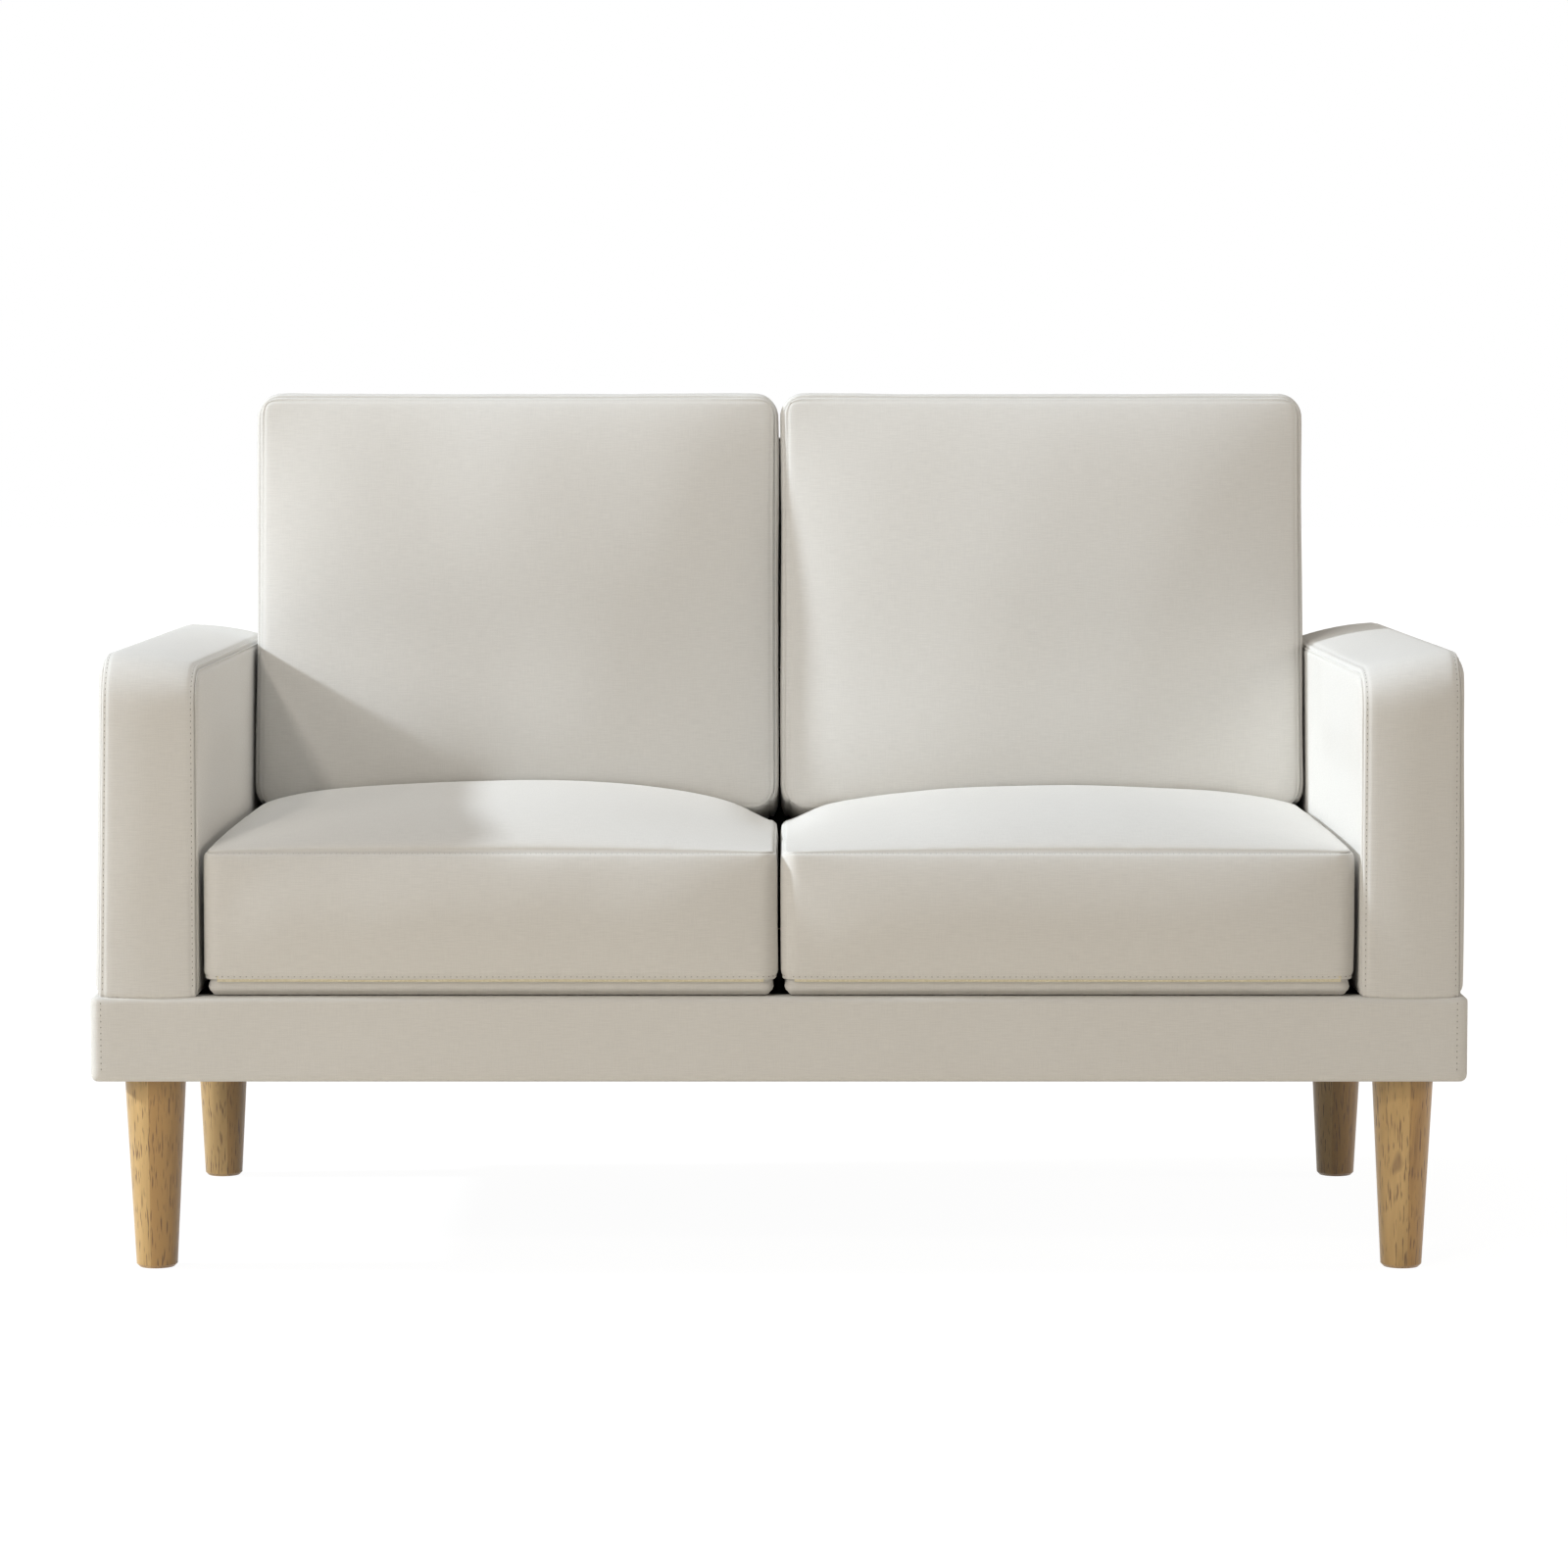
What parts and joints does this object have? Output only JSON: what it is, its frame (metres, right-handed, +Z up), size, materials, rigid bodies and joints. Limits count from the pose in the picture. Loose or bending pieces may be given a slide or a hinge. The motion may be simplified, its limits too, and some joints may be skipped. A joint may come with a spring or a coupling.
{
  "type": "high back settee",
  "caption": "High back settee with loose boxed seat and back cushions, padded panel arms, an upholstered base rail and round tapered wooden legs.",
  "frame": {"origin": "on the floor, under the centre of the whole settee", "axes": "+X to the right as seen from the front, -Y towards the front (the sitter's feet), +Z up"},
  "size_m": [1.33, 0.759, 0.853],
  "materials": {
    "upholstery": "matt linen-look weave",
    "black_lining": "matt non-woven",
    "webbing": "matt woven",
    "foam": "matt open cell",
    "leg_wood": "satin clear lacquer",
    "frame_wood": "sawn softwood",
    "panel_board": "fibreboard",
    "zinc_steel": "zinc plated",
    "glide_plastic": "matt"
  },
  "bodies": {
    "frame": {"arm_board_left": "panel_board", "arm_board_right": "panel_board", "arm_bolt_blocks": "frame_wood", "arm_bolts": "zinc_steel", "arm_bottom_rail_left": "frame_wood", "arm_bottom_rail_right": "frame_wood", "arm_cover_left": "upholstery", "arm_cover_right": "upholstery", "arm_foam_left": "foam", "arm_foam_right": "foam", "arm_front_post_left": "frame_wood", "arm_front_post_right": "frame_wood", "arm_rear_post_left": "frame_wood", "arm_rear_post_right": "frame_wood", "arm_sockets": "zinc_steel", "arm_tee_nuts": "zinc_steel", "arm_top_rail_left": "frame_wood", "arm_top_rail_right": "frame_wood", "back_bottom_rail": "frame_wood", "back_cover": "upholstery", "back_hooks": "zinc_steel", "back_lining": "black_lining", "back_padding": "foam", "back_post_centre": "frame_wood", "back_post_left": "frame_wood", "back_post_right": "frame_wood", "back_top_rail": "frame_wood", "back_webbing": "webbing", "base_centre_rail": "frame_wood", "base_cover": "upholstery", "base_front_rail": "frame_wood", "base_padding": "foam", "base_rear_rail": "frame_wood", "base_side_rail_left": "frame_wood", "base_side_rail_right": "frame_wood", "corner_block_front_left": "frame_wood", "corner_block_front_right": "frame_wood", "corner_block_rear_left": "frame_wood", "corner_block_rear_right": "frame_wood", "deck_cloth": "black_lining", "dust_cover": "black_lining", "hanger_bolts": "zinc_steel", "leg_front_left": "leg_wood", "leg_front_right": "leg_wood", "leg_glides": "glide_plastic", "leg_plate_screws": "zinc_steel", "leg_plates": "zinc_steel", "leg_rear_left": "leg_wood", "leg_rear_right": "leg_wood", "seat_webbing_crosswise": "webbing", "seat_webbing_lengthwise": "webbing"},
    "seat_cushion_left": {"seat_cushion_cover_left": "upholstery", "seat_foam_left": "foam"},
    "back_cushion_left": {"back_cushion_cover_left": "upholstery", "back_fill_left": "foam"},
    "seat_cushion_right": {"seat_cushion_cover_right": "upholstery", "seat_foam_right": "foam"},
    "back_cushion_right": {"back_cushion_cover_right": "upholstery", "back_fill_right": "foam"}
  },
  "joints": [
    {"name": "seat_slide_left", "type": "slide", "parent": "frame", "child": "seat_cushion_left", "axis": [0, -1, 0], "range_m": [0, 0.66]},
    {"name": "seat_slide_right", "type": "slide", "parent": "frame", "child": "seat_cushion_right", "axis": [0, -1, 0], "range_m": [0, 0.66]},
    {"name": "back_lift_left", "type": "slide", "parent": "frame", "child": "back_cushion_left", "axis": [0, 0, 1], "range_m": [0, 0.5]},
    {"name": "back_lift_right", "type": "slide", "parent": "frame", "child": "back_cushion_right", "axis": [0, 0, 1], "range_m": [0, 0.5]}
  ]
}
